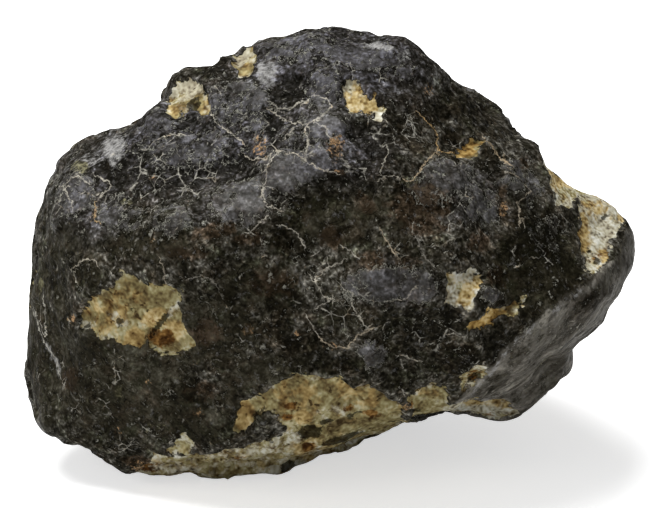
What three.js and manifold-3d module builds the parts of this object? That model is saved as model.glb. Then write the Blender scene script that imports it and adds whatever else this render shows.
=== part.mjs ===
// A chondrite meteorite: one whole stone whose dark crust is broken away in places.
// Millimetres, +Z up, front at -Y. The stone rests on a small flat spot at z = 0, and the origin is
// the middle of its box at that level.
import * as THREE from 'three';
import { mergeVertices } from 'three/addons/utils/BufferGeometryUtils.js';
import Module from 'manifold-3d';

// Driving dimensions.
const REST_DEPTH = 35; // from the stone's middle down to the surface that it rests on
const SURFACE_DETAIL = 15; // subdivisions of the icosahedron that the stone's surface is drawn on
const FARTHEST = 90; // no point of the stone lies farther from its middle
const FLAKE_STEP = 0.6; // how far the floor of a flaked patch lies below the crust around it
const FLOOR_GRAIN = 0.5; // share of the swells that a patch's floor repeats
const FLOOR_FINER = 3; // and how many times finer it repeats them
const WELD = 1e-4; // points closer than this are one

// The outlines of the flaked patches are drawn in views of the stone: millimetres right of and above
// its middle, as an eye sees them from EYE_DISTANCE away. Each view is a heading, as below.
const EYE_DISTANCE = 550;
const FRONT_VIEW = [0, 20];
const LOW_FRONT_VIEW = [0, -35];
const LEFT_VIEW = [-85, 5];
const RIGHT_VIEW = [105, 0];
const BACK_VIEW = [180, 15];
const TOP_VIEW = [150, 70];

// The broken and worn faces that bound the stone. Each has a heading: azimuth in degrees, 0 for the
// front and 90 for the right, and elevation above level. Then comes its distance from the middle,
// and how far the corner to its neighbours is rounded over.
const FACES = [
  { name: 'front', heading: [0, 5], distance: 33, corner: 8 },
  { name: 'front left, low', heading: [-22, -8], distance: 36, corner: 8 },
  { name: 'upper left slope', heading: [-34, 52], distance: 33, corner: 8 },
  { name: 'upper right slope', heading: [48, 46], distance: 34, corner: 8 },
  { name: 'lower right flank', heading: [46, -27], distance: 41, corner: 2 },
  { name: 'left flank', heading: [-62, 4], distance: 46, corner: 4 },
  { name: 'lower front break', heading: [13, -32], distance: 34, corner: 3 },
  { name: 'right end', heading: [92, 10], distance: 54, corner: 4 },
  { name: 'right end, under', heading: [80, -23], distance: 45.5, corner: 4 },
  { name: 'right shoulder', heading: [100, 25], distance: 50.5, corner: 4 },
  { name: 'upper right rim', heading: [114, 48], distance: 34.8, corner: 5 },
  { name: 'top', heading: [178, 64], distance: 38.2, corner: 6 },
  { name: 'upper left rim', heading: [-135, 63], distance: 37.5, corner: 6 },
  { name: 'left shoulder', heading: [-114, 49], distance: 38.5, corner: 6 },
  { name: 'left shoulder, low', heading: [-101, 28], distance: 49.5, corner: 6 },
  { name: 'left end', heading: [-94, -4], distance: 50.5, corner: 4 },
  { name: 'left end, low', heading: [-86, -25], distance: 60, corner: 4 },
  { name: 'lower left rim', heading: [-65, -59], distance: 48.5, corner: 4 },
  { name: 'underside, front', heading: [-5, -62], distance: 37.5, corner: 4 },
  { name: 'underside, back left', heading: [-120, -70], distance: 39, corner: 5 },
  { name: 'lower right rim', heading: [51, -60], distance: 31.3, corner: 4 },
  { name: 'right end, low', heading: [80, -36], distance: 45.6, corner: 5 },
  { name: 'back', heading: [175, -4], distance: 37, corner: 10 },
  { name: 'back, upper left', heading: [-145, 22], distance: 41, corner: 8 },
  { name: 'back, right', heading: [128, 6], distance: 42, corner: 8 },
  { name: 'back, low', heading: [-160, -48], distance: 37.5, corner: 8 },
  { name: 'back, low right', heading: [120, -45], distance: 38, corner: 6 },
];

// Knobs stand proud and thumbprints are scooped out. Each has a heading, a length and a width along
// the surface, how far its length is turned from level, and its height, negative for a hollow.
const RELIEF = [
  { name: 'lower right lobe', heading: [81, -35], size: [26, 22], turn: 20, height: 6.3 },
  { name: 'upper left knob', heading: [-111, 45], size: [13, 16], turn: 0, height: 2.5 },
  { name: 'upper right knob', heading: [109, 42], size: [12, 14], turn: 0, height: 1.2 },
  { name: 'upper left dip', heading: [-122, 55], size: [14, 14], turn: 0, height: -1.8 },
  { name: 'left shoulder dip', heading: [-103, 34], size: [20, 18], turn: 0, height: -2.6 },
  { name: 'left shoulder knob', heading: [-98, 23], size: [14, 18], turn: 0, height: 1.5 },
  { name: 'lower left knob', heading: [-81, -22], size: [30, 26], turn: 0, height: 2 },
  { name: 'right shoulder dip', heading: [99, 24], size: [18, 18], turn: 0, height: -3.4 },
  { name: 'front boss', heading: [15, 10], size: [30, 22], turn: -20, height: 1.8 },
  { name: 'front hollow', heading: [-4, 28], size: [14, 26], turn: 15, height: -2 },
  { name: 'slope swelling', heading: [-36, 22], size: [30, 14], turn: 10, height: 1.5 },
  { name: 'upper thumbprint', heading: [12, 50], size: [12, 10], turn: 0, height: -1.6 },
  { name: 'lower thumbprint', heading: [22, -6], size: [16, 16], turn: 0, height: -1.7 },
  { name: 'right thumbprint', heading: [45, 10], size: [13, 16], turn: 0, height: -1.8 },
  { name: 'right rim thumbprint', heading: [58, 46], size: [12, 12], turn: 0, height: -1 },
  { name: 'right swelling', heading: [40, 32], size: [14, 10], turn: -20, height: 1 },
  { name: 'left flank groove', heading: [-74, -14], size: [8, 22], turn: 10, height: -1 },
  { name: 'flank hollow', heading: [68, -18], size: [12, 20], turn: 40, height: -1.2 },
  { name: 'underside dip', heading: [5, -72], size: [24, 10], turn: 0, height: -1.4 },
  { name: 'right end notch', heading: [84, -23], size: [14, 20], turn: 20, height: -3.6 },
  { name: 'right tip', heading: [88, 4], size: [16, 12], turn: 0, height: 0.8 },
  { name: 'summit dip', heading: [66, 83], size: [14, 12], turn: 0, height: -2 },
  { name: 'summit knob', heading: [76, 69], size: [12, 14], turn: 0, height: 1.6 },
  { name: 'lower left corner', heading: [-69, -44], size: [16, 16], turn: 0, height: 1.6 },
  { name: 'back thumbprint, left', heading: [-165, 10], size: [20, 16], turn: 20, height: -2 },
  { name: 'back thumbprint, right', heading: [150, 18], size: [16, 14], turn: 0, height: -1.6 },
  { name: 'back thumbprint, low', heading: [165, -20], size: [18, 13], turn: -10, height: -1.6 },
  { name: 'back boss', heading: [-178, 32], size: [22, 14], turn: 0, height: 1.4 },
  { name: 'top thumbprint', heading: [125, 68], size: [20, 18], turn: 0, height: -2 },
];

// Gentle swells all over the stone: crossing waves, each with the direction that it runs along, the
// length after which it repeats, and its height.
const SWELLS = [
  { along: [3, 1, 2], length: 23, height: 0.3 },
  { along: [-1, 3, 1], length: 19, height: 0.25 },
  { along: [1, -2, 3], length: 14, height: 0.22 },
  { along: [2, 2, -1], length: 10.5, height: 0.18 },
  { along: [-3, 1, 1], length: 8, height: 0.12 },
];

// Places where the crust has flaked off, or a piece of the stone has broken out. Each outline is a
// closed loop of points in its view. The step is how far its floor lies below the crust. A chip is
// cut only nearer to the eye than a plane square to the view, this far in front of the middle.
const CHIPS = [
  {
    name: 'left chip', view: FRONT_VIEW, from: 0, step: FLAKE_STEP,
    outline: [
      [-43, -11], [-41.5, -8.5], [-39, -7], [-36.5, -6], [-35, -3.5], [-33, -4], [-30, -5.5],
      [-25, -6], [-26, -9], [-24, -13], [-23, -15], [-28.5, -16.5], [-32, -15], [-38, -14.5],
      [-40, -12.5],
    ],
  },
  {
    name: 'bottom break, upper part', view: FRONT_VIEW, from: 6, step: 0.8,
    outline: [
      [-16.2, -29], [-16, -26.8], [-14.5, -24.7], [-10, -22.2], [-8, -20.7], [-6, -19.7],
      [-3, -20.3], [1.2, -20.7], [3.5, -22.5], [6, -21.7], [8.5, -22.8], [10.8, -24.3],
      [12, -27.5], [9, -30], [0, -32], [-5, -31.5], [-9, -29], [-13, -29.5],
    ],
  },
  {
    name: 'bottom break, lower part', view: FRONT_VIEW, from: 6, step: 1.2,
    outline: [
      [-29.5, -36], [-24.3, -34], [-20.8, -33], [-17.4, -31.5], [-9, -29.3], [0, -31],
      [6, -29.5], [11, -28], [14, -29], [11, -33], [5, -35], [-5, -39], [-20, -40], [-29, -39],
    ],
  },
  {
    name: 'bottom break, underside', view: LOW_FRONT_VIEW, from: 0, step: 1.2,
    outline: [
      [-26, -11], [-25, -15], [-20, -18], [-14, -17], [-9, -20.5], [-3, -19], [2, -20.5],
      [6, -16], [11, -15], [13, -10], [8, -7], [0, -8], [-9, -8], [-18, -9],
    ],
  },
  {
    name: 'break beside the lobe', view: FRONT_VIEW, from: 4, step: FLAKE_STEP,
    outline: [
      [12.7, -24], [14.5, -22.2], [16, -21.7], [18.5, -21.7], [19.5, -24], [19, -27.5],
      [13.5, -29.5],
    ],
  },
  {
    name: 'strip under the lobe', view: FRONT_VIEW, from: -3, step: FLAKE_STEP,
    outline: [[18, -25.5], [22, -24.4], [28.5, -24.6], [31, -26], [30.5, -30], [18, -30]],
  },
  {
    name: 'upper left chip', view: FRONT_VIEW, from: 4, step: FLAKE_STEP,
    outline: [
      [-28.5, 23.5], [-27, 27], [-26, 28.5], [-24, 29.5], [-22.3, 28.5], [-20.8, 27],
      [-20.5, 23.5], [-24, 24.5], [-26, 23],
    ],
  },
  {
    name: 'chip in the top edge', view: FRONT_VIEW, from: 6, step: 0.8,
    outline: [[-16.5, 32], [-16, 35], [-12.5, 37], [-13, 33], [-14, 29.5], [-15.5, 30]],
  },
  {
    name: 'upper middle chip', view: FRONT_VIEW, from: 0, step: FLAKE_STEP,
    outline: [
      [2, 28.5], [4, 28.5], [5.5, 27], [8.5, 24.5], [8, 22], [6, 24], [3, 23.5], [2, 25],
    ],
  },
  {
    name: 'right end chip', view: FRONT_VIEW, from: 2, step: 0.8,
    outline: [
      [35.5, 17], [37, 16], [41, 14.5], [46, 13], [47.5, 8.5], [48.5, 4.5], [46, 1.5], [44.5, -3],
      [42.5, -3], [41.5, 0.5], [41, 9.5], [38.5, 9.5], [37, 11.5],
    ],
  },
  {
    name: 'right white chip', view: FRONT_VIEW, from: 0, step: FLAKE_STEP,
    outline: [
      [19, -4], [19.5, -3], [23.5, -2.5], [25.5, -4], [24, -6.5], [22.5, -9], [19.5, -8],
    ],
  },
  {
    name: 'mottled chip', view: FRONT_VIEW, from: 0, step: FLAKE_STEP,
    outline: [[21, -21.5], [22, -20], [24, -18.5], [25.7, -19], [25, -20.5], [22.5, -22]],
  },
  {
    name: 'small chip above the bottom break', view: FRONT_VIEW, from: 0, step: FLAKE_STEP,
    outline: [[-24.7, -30], [-23, -32], [-24.5, -33.8], [-27.5, -33.5], [-26.5, -32]],
  },
  {
    name: 'left end chip', view: LEFT_VIEW, from: 0, step: FLAKE_STEP,
    outline: [[-6, -4], [-3, -1], [1, -2], [2, -6], [0, -10], [-3, -12], [-5, -9]],
  },
  {
    name: 'right end break', view: RIGHT_VIEW, from: 0, step: 1,
    outline: [
      [4, -12], [7, -8], [12, -9], [15, -13], [19, -15], [17, -20], [11, -22], [7, -19],
      [3, -18],
    ],
  },
  {
    name: 'back break', view: BACK_VIEW, from: 0, step: 1,
    outline: [
      [-22, 6], [-17, 10], [-12, 9], [-8, 12], [-3, 9], [-5, 4], [-2, 0], [-7, -4], [-13, -3],
      [-16, 0], [-21, 1],
    ],
  },
  {
    name: 'back chip, low', view: BACK_VIEW, from: 0, step: FLAKE_STEP,
    outline: [[14, -14], [18, -11], [24, -12], [25, -16], [20, -20], [15, -18]],
  },
  {
    name: 'back chip, high', view: BACK_VIEW, from: 0, step: FLAKE_STEP,
    outline: [[20, 15], [23, 18], [27, 16], [26, 12], [22, 11]],
  },
  {
    name: 'top chip', view: TOP_VIEW, from: 0, step: FLAKE_STEP,
    outline: [[-6, -2], [-3, 2], [1, 1], [4, 3], [6, -1], [2, -4], [-3, -5]],
  },
];

const degrees = THREE.MathUtils.degToRad;
const middle = new THREE.Vector3(0, 0, REST_DEPTH);
const above = new THREE.Vector3(0, 0, 1);

// Unit vector of a heading.
function headingVector([azimuth, elevation]) {
  const level = Math.cos(degrees(elevation));
  return new THREE.Vector3(
    Math.sin(degrees(azimuth)) * level,
    -Math.cos(degrees(azimuth)) * level,
    Math.sin(degrees(elevation)),
  );
}

const faces = FACES.map((face) => ({ ...face, normal: headingVector(face.heading) }));
const swells = SWELLS.map((wave) => ({
  ...wave,
  turns: new THREE.Vector3(...wave.along).setLength((2 * Math.PI) / wave.length),
}));

// Larger of two signed distances, with the corner where they cross rounded over.
function roundedMax(a, b, corner) {
  const overlap = Math.max(corner - Math.abs(a - b), 0) / corner;
  return Math.max(a, b) + (overlap * overlap * corner) / 4;
}

// Distance from the middle to the block that the faces enclose, along a unit direction.
function blockRadius(direction) {
  const halvings = 24;
  let inside = 0;
  let outside = FARTHEST;
  for (let step = 0; step < halvings; step += 1) {
    const reach = (inside + outside) / 2;
    const depth = faces.reduce(
      (nearest, face) =>
        roundedMax(nearest, direction.dot(face.normal) * reach - face.distance, face.corner),
      -FARTHEST,
    );
    if (depth > 0) outside = reach;
    else inside = reach;
  }
  return (inside + outside) / 2;
}

const knobs = RELIEF.map((knob) => {
  const out = headingVector(knob.heading);
  const along = above.clone().cross(out).normalize().applyAxisAngle(out, degrees(knob.turn));
  return { ...knob, out, along, across: out.clone().cross(along), reach: blockRadius(out) };
});

// Height that the knobs and thumbprints add at a direction: each is a soft dome on an oval.
function reliefHeight(direction) {
  let height = 0;
  for (const knob of knobs) {
    if (direction.dot(knob.out) <= 0) continue;
    const s = (2 * knob.reach * direction.dot(knob.along)) / knob.size[0];
    const t = (2 * knob.reach * direction.dot(knob.across)) / knob.size[1];
    const rise = Math.max(1 - s * s - t * t, 0);
    height += knob.height * rise * rise * (3 - 2 * rise);
  }
  return height;
}

// Height of the crossing waves at a point.
function swellHeight(point) {
  return swells.reduce((sum, wave) => sum + wave.height * Math.sin(point.dot(wave.turns)), 0);
}

// The stone as a closed mesh, or with a step, the surface that the chips of that step reach down to.
function stoneGeometry(step = 0) {
  const stone = new THREE.IcosahedronGeometry(1, SURFACE_DETAIL);
  const position = stone.getAttribute('position');
  const direction = new THREE.Vector3();
  for (let i = 0; i < position.count; i += 1) {
    direction.fromBufferAttribute(position, i).normalize();
    const reach = blockRadius(direction) + reliefHeight(direction);
    const point = direction.clone().multiplyScalar(reach);
    const grain = point.clone().multiplyScalar(FLOOR_FINER);
    let height = swellHeight(point) - step;
    if (step > 0) height += FLOOR_GRAIN * swellHeight(grain);
    point.setLength(reach + height).add(middle);
    position.setXYZ(i, point.x, point.y, point.z);
  }
  return stone;
}

const wasm = await Module();
wasm.setup();

// A closed geometry as a solid that can be joined and cut.
function solidOf(geometry) {
  const bare = new THREE.BufferGeometry().setAttribute('position', geometry.getAttribute('position'));
  bare.setIndex(geometry.getIndex());
  const merged = mergeVertices(bare, WELD);
  return new wasm.Manifold(
    new wasm.Mesh({
      numProp: 3,
      vertProperties: new Float32Array(merged.getAttribute('position').array),
      triVerts: new Uint32Array(merged.getIndex().array),
    }),
  );
}

// The solid as a geometry again.
function geometryOf(solid) {
  const mesh = solid.getMesh();
  const geometry = new THREE.BufferGeometry();
  geometry.setAttribute('position', new THREE.BufferAttribute(mesh.vertProperties, 3));
  geometry.setIndex(new THREE.BufferAttribute(mesh.triVerts, 1));
  return geometry;
}

// A prism with a chip's outline as its section, which tapers towards the eye of the chip's view.
function outlinePrism({ view, outline, from }) {
  const shape = new THREE.Shape(outline.map((point) => new THREE.Vector2(...point)));
  const prism = new THREE.ExtrudeGeometry(shape, { depth: FARTHEST, bevelEnabled: false });
  prism.translate(0, 0, from);
  const position = prism.getAttribute('position');
  for (let i = 0; i < position.count; i += 1) {
    const taper = 1 - position.getZ(i) / EYE_DISTANCE;
    position.setXY(i, position.getX(i) * taper, position.getY(i) * taper);
  }
  const toEye = headingVector(view);
  const right = above.clone().cross(toEye).normalize();
  prism.applyMatrix4(new THREE.Matrix4().makeBasis(right, toEye.clone().cross(right), toEye));
  return prism.translate(middle.x, middle.y, middle.z);
}

// The whole stone: the chips' skins are taken off, then the underside is cut level.
function stoneSolid() {
  let stone = solidOf(stoneGeometry());
  for (const chip of CHIPS) {
    const floor = solidOf(stoneGeometry(chip.step));
    stone = stone.subtract(solidOf(outlinePrism(chip)).subtract(floor));
  }
  const ground = new THREE.BoxGeometry(2 * FARTHEST, 2 * FARTHEST, FARTHEST);
  return stone.subtract(solidOf(ground.translate(0, 0, -FARTHEST / 2)));
}

const crust = new THREE.MeshStandardMaterial({ color: 0x2b2925, roughness: 0.55, metalness: 0 });
const meteorite = new THREE.Mesh(geometryOf(stoneSolid()), crust);
meteorite.name = 'meteorite';
meteorite.geometry.computeBoundingBox();
const box = meteorite.geometry.boundingBox;
meteorite.position.set(-(box.min.x + box.max.x) / 2, -(box.min.y + box.max.y) / 2, 0);

const group = new THREE.Group();
group.add(meteorite);
export default group;
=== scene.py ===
"""Chondrite meteorite: fused crust, hairline cracks, broken patches and a plain studio."""
import math

import bmesh
import bpy
import numpy as np
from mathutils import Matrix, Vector, noise
from mathutils.bvhtree import BVHTree


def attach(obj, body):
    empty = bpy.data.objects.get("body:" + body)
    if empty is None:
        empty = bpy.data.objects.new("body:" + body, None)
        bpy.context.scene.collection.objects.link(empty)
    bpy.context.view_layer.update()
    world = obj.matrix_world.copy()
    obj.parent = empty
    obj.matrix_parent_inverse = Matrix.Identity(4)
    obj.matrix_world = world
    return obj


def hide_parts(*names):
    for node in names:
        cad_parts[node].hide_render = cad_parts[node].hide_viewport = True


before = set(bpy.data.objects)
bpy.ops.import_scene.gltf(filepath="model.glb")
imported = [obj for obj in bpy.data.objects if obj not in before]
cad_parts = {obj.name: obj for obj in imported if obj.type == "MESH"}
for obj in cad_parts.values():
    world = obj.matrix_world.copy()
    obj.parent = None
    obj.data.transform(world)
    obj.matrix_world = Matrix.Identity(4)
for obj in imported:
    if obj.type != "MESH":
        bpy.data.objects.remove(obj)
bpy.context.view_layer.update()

# Lengths here are in millimetres, and MM turns them into metres.
MM = 0.001
MIDDLE = Vector((0.36, -1.74, 35.0))
EYE_DISTANCE = 550.0

# The stone is looked at from these sides: azimuth, 0 for the front and 90 for the right, and
# elevation. Its markings are drawn in them, in millimetres right of and above its middle.
FRONT = (0, 20)
LOW_FRONT = (0, -35)
LEFT = (-85, 5)
RIGHT = (105, 0)
BACK = (180, 15)
TOP = (150, 70)

# Patches where the crust has broken away. Each has a view, how near to the eye it begins, how
# white and how rusty its rock is, and its outline.
BROKEN = [
    # left
    (FRONT, 0, 0.0, 0.35, [(-42.6, -10.6), (-41, -7.8), (-38.4, -6.2), (-36.6, -5.6), (-35.8, -4),
     (-35, -2.6), (-33.2, -3.8), (-31, -5), (-27.5, -5.3), (-24.8, -6.3), (-26, -8.5), (-25, -11),
     (-22.8, -15), (-25, -16.3), (-29, -16.6), (-30.8, -14.5), (-32.6, -15.8), (-34.6, -15.4),
     (-35.6, -14.6), (-38.2, -14.3), (-40, -13.3), (-41.7, -12)]),
    # bottom, upper part
    (FRONT, 6, 0.0, 0.3, [(-16.4, -29.6), (-16, -26.8), (-14.5, -24.7), (-10, -22.2), (-8, -20.7),
     (-6, -19.7), (-3, -20.3), (1.2, -20.7), (3.5, -22.5), (6, -21.7), (8.5, -22.8),
     (10.8, -24.3), (12, -27.5), (9, -30), (0, -32), (-6.4, -30.8), (-8.6, -29), (-9.4, -27.2),
     (-11, -26.2), (-12.8, -26.6), (-13.4, -28.6), (-15, -29.8)]),
    # bottom, lower part
    (FRONT, -14, 0.45, 0.1, [(-33.5, -36.5), (-29.5, -35.2), (-27.5, -34.2), (-24.3, -33.6),
     (-20.8, -33.3), (-17.4, -32.6), (-14.6, -32.2), (-11, -31.5), (-8.4, -30.6), (-6, -29.8),
     (0, -31), (6, -29.5), (11, -28), (14, -29), (11, -33), (5, -35), (-3, -37), (-4.5, -36),
     (-8.5, -35.6), (-9.5, -37.5), (-13, -40), (-17.5, -37.6), (-21, -37.8), (-24, -40), (-30, -40)]),
    # underside
    (LOW_FRONT, 0, 0.2, 0.3, [(-31, -9), (-32, -13), (-29, -17), (-24, -18), (-20, -22), (-14, -21),
     (-9, -24), (-3, -22), (2, -23), (6, -18), (11, -16), (13, -10), (8, -7), (0, -8), (-9, -8),
     (-18, -9)]),
    # beside the lobe
    (FRONT, 4, 0.2, 0.2, [(12.7, -24), (14.5, -22.2), (16, -21.7), (18.5, -21.7), (19.5, -24),
     (19, -27.5), (13.5, -29.5)]),
    # strip under the lobe
    (FRONT, -3, 0.8, 0.1, [(18, -25.5), (22, -24.4), (28.5, -24.6), (31, -26), (30.5, -30), (18, -30)]),
    # upper left
    (FRONT, 0, 0.4, 0.1, [(-28.5, 23.5), (-27, 27), (-26, 28.5), (-24, 29.5), (-22.3, 28.5),
     (-20.8, 27), (-20.5, 23.5), (-24, 24.5), (-26, 23)]),
    # in the top edge
    (FRONT, 6, 0.4, 0.0, [(-16.5, 32), (-16, 35), (-12.5, 37), (-13, 33), (-14, 29.5), (-15.5, 30)]),
    # upper middle
    (FRONT, 0, 0.65, 0.25, [(2, 28.5), (4, 28.5), (5.5, 27), (8.5, 24.5), (8, 22), (6, 24), (3, 23.5),
     (2, 25)]),
    # right end
    (FRONT, -4, 0.7, 0.35, [(34, 18), (37, 17.5), (41, 16), (46, 14), (48, 9), (48.3, 4.5), (46.4, 1.5),
     (44.7, -3), (42.7, -3), (41.6, 0.5), (41.2, 9.6), (40.3, 9.2), (39.4, 8), (37.6, 8.2),
     (36.8, 10.4), (36, 13.5)]),
    # right, white
    (FRONT, 0, 1.0, 0.3, [(19.1, -3.1), (21, -3.2), (23.2, -2.5), (25, -3.7), (25, -4.9),
     (24.1, -6.1), (23.3, -7.9), (22.5, -9.3), (21.6, -8.6), (18.9, -8.4), (19, -5.5)]),
    # mottled
    (FRONT, 0, 0.4, 0.4, [(21, -21.5), (22, -20), (24, -18.5), (25.7, -19), (25, -20.5), (22.5, -22)]),
    # above the bottom break
    (FRONT, 0, 0.3, 0.1, [(-24.7, -30), (-23, -32), (-24.5, -33.8), (-27.5, -33.5), (-26.5, -32)]),
    # rusty, upper right
    (FRONT, 0, 0.1, 1.0, [(21, 17), (22.5, 19), (25.5, 19), (24, 17.5), (23.5, 16), (20.5, 16.5)]),
    # rusty branch, right
    (FRONT, 0, 0.2, 1.0, [(22, -12.6), (23.2, -11.2), (25.2, -10.4), (26, -9.2), (26.6, -8.2),
     (27.5, -9), (29, -8.8), (30, -8.2), (31.8, -7.1), (32.4, -8.2), (31.2, -9.2), (29.6, -10.4),
     (28, -10.4), (27, -11), (26.4, -12.4), (25, -12.2), (23.3, -13)]),
    # left end
    (LEFT, 0, 0.4, 0.3, [(-5, -10), (-3, -7), (0, -7.5), (1.5, -10), (0.5, -13), (-2, -15), (-4, -13)]),
    # right end, behind
    (RIGHT, 0, 0.2, 0.5, [(4, -12), (7, -8), (12, -9), (15, -13), (19, -15), (17, -20), (11, -22),
     (7, -19), (3, -18)]),
    # back
    (BACK, 0, 0.0, 0.4, [(-22, 6), (-17, 10), (-12, 9), (-8, 12), (-3, 9), (-5, 4), (-2, 0), (-7, -4),
     (-13, -3), (-16, 0), (-21, 1)]),
    (BACK, 0, 0.5, 0.4, [(14, -14), (18, -11), (24, -12), (25, -16), (20, -20), (15, -18)]),
    (BACK, 0, 0.2, 0.8, [(20, 15), (23, 18), (27, 16), (26, 12), (22, 11)]),
    # top
    (TOP, 0, 0.3, 0.6, [(-6, -2), (-3, 2), (1, 1), (4, 3), (6, -1), (2, -4), (-3, -5)]),
]

# Larger cracks, seen from the front: how rusty and how bold each is, and its path.
CRACKS = [
    (0.9, 1.0, [(14.6, 23.5), (16.6, 21.5), (17.6, 20), (17.4, 17.3), (19.4, 17), (21.1, 16.7)]),
    (0.8, 0.7, [(25.3, 19.2), (26.9, 17.3), (28.8, 15.7), (29.4, 14.5)]),
    (0.6, 0.9, [(17.4, 17.3), (15.8, 15.7), (14.3, 13.5), (13.3, 12), (11.4, 12.3)]),
    (0.5, 0.6, [(28.6, 13.5), (31.3, 12.3), (32.8, 10.2), (30.9, 8.7), (31.3, 5.2)]),
    (0.4, 1.0, [(7.9, 4.3), (9, 2.5), (10, 0.6), (11, -0.6)]),
    (0.1, 1.0, [(-20.2, 23.5), (-19.3, 21.7), (-17.1, 20.3), (-14.8, 18.5)]),
    (0.2, 0.9, [(-14.6, 16.5), (-13.3, 15.6), (-11, 16), (-9.8, 17), (-6.6, 17), (-4.9, 16), (-3, 14.6),
     (-0.5, 13.7)]),
    (0.1, 0.7, [(-9.8, 17), (-10.5, 15), (-11, 12.5), (-11.8, 10), (-11, 8), (-9.8, 7.8)]),
    (0.1, 0.8, [(-10.3, 24), (-7.5, 22.2), (-4, 21.2), (-1.8, 22.3), (0, 24.4), (-1, 26), (-3.2, 26.8),
     (-5, 25.4)]),
    (0.1, 0.9, [(-4.4, 20.7), (-4.2, 19), (-4.4, 17.3), (-4.5, 15.5), (-2.9, 14.6), (-0.8, 14),
     (0.4, 13.6)]),
    (0.1, 0.6, [(-10.4, 25.3), (-9.2, 24.6), (-7.5, 24.4), (-5, 25.9), (-3.1, 26.9)]),
    (0.1, 0.6, [(-2.5, 21.3), (-1, 20.7), (-0.8, 19.6), (0.2, 19.2)]),
    (0.1, 0.7, [(-11, 13.6), (-10.4, 15), (-9.2, 16.3)]),
    (0.1, 0.6, [(-12.9, 11.3), (-10.8, 11.3), (-9.6, 10.7)]),
    (0.2, 0.8, [(-11.7, 10.7), (-11.9, 9.4), (-11.3, 8.4), (-9.6, 8), (-8.5, 7.3)]),
    (0.1, 0.6, [(-6, 21.1), (-6.9, 19.6), (-8, 19)]),
    (0.1, 0.6, [(9.2, 18.3), (9.4, 17), (8.4, 15.2), (8.2, 13.6)]),
    (0.2, 0.6, [(8, 12.4), (8.9, 13), (10.2, 12.8), (11.4, 12.3)]),
    (0.1, 0.7, [(1.9, 1.3), (3, 0.5), (4.2, -0.6)]),
    (0.1, 0.7, [(-2.9, -4), (-1, -2.4), (0.5, -1.9), (2, -1)]),
    (0.1, 0.5, [(15.1, 0.2), (16, -0.8), (17, -2)]),
    (0.1, 0.9, [(-13.3, 4), (-12.3, 5), (-11.2, 6)]),
    (0.1, 0.7, [(-8.8, 4.8), (-6.6, 4), (-5, 2.3), (-4.6, 1)]),
    (0.3, 0.4, [(-1.2, 8.7), (-0.9, 5.6), (-0.7, 4.5), (0.8, 4.8), (3.2, 4.8)]),
    (0.3, 0.4, [(8.8, 12.8), (7.5, 10.2), (5.8, 8.2)]),
    (0.1, 0.7, [(-3.7, -3.5), (-2, -6), (-1.5, -7.2), (0, -7.4), (-2.5, -9)]),
    (0.1, 0.7, [(1, -4.8), (2.1, -6), (3.5, -6.2), (3, -8.2), (4.2, -10), (6, -12.7)]),
    (0.2, 0.7, [(10.2, -7.7), (12.4, -7.4), (13.8, -5.5)]),
    (0.5, 0.7, [(-2.3, -14), (-0.9, -15.2), (1.2, -15.5), (2.6, -15.6), (4, -13.6), (6, -12.7),
     (7.6, -12.4)]),
    (0.1, 0.7, [(-4.3, -10.2), (-3.2, -12.2), (-2.3, -14)]),
    (0.1, 0.7, [(11, -16.8), (14.4, -17.7)]),
    (0.1, 0.5, [(16.3, 1.5), (18, 1.2), (20.4, 3)]),
    (0.1, 0.7, [(-45.8, 11), (-44.6, 11.2), (-42.5, 12.8), (-40.9, 12)]),
    (0.1, 0.7, [(-44.6, 11.2), (-43.4, 8.7), (-43.3, 7.6)]),
    (0.9, 0.9, [(-39.9, 8.7), (-39.7, 7), (-39.6, 5.7), (-38.7, 5.2)]),
    (0.2, 0.8, [(-43.3, -2.3), (-41, -0.8), (-39.6, -1), (-39, -2.2)]),
    (0.1, 0.7, [(-43.6, -2.7), (-42.6, -4.8)]),
    (0.4, 0.6, [(-28.8, -0.7), (-28.1, -2.2), (-27.6, -4.4), (-27.7, -5.5)]),
    (0.1, 0.7, [(-31.6, 17.4), (-30, 18.2), (-28.7, 19.4), (-27, 19.7), (-24.2, 19.7)]),
    (0.1, 0.7, [(-39.6, 13.2), (-36.8, 11.8), (-38.8, 9.8)]),
    (0.1, 0.5, [(-24, -4), (-21.6, -3.5), (-20, -4.4), (-18.4, -7.2)]),
    (0.0, 0.7, [(-49.2, -9), (-48.6, -12), (-47.4, -15.2), (-46.4, -18), (-45.8, -20.5)]),
    (0.0, 0.7, [(-48.2, -7), (-47.6, -10.5), (-47.2, -13.5)]),
]

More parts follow.
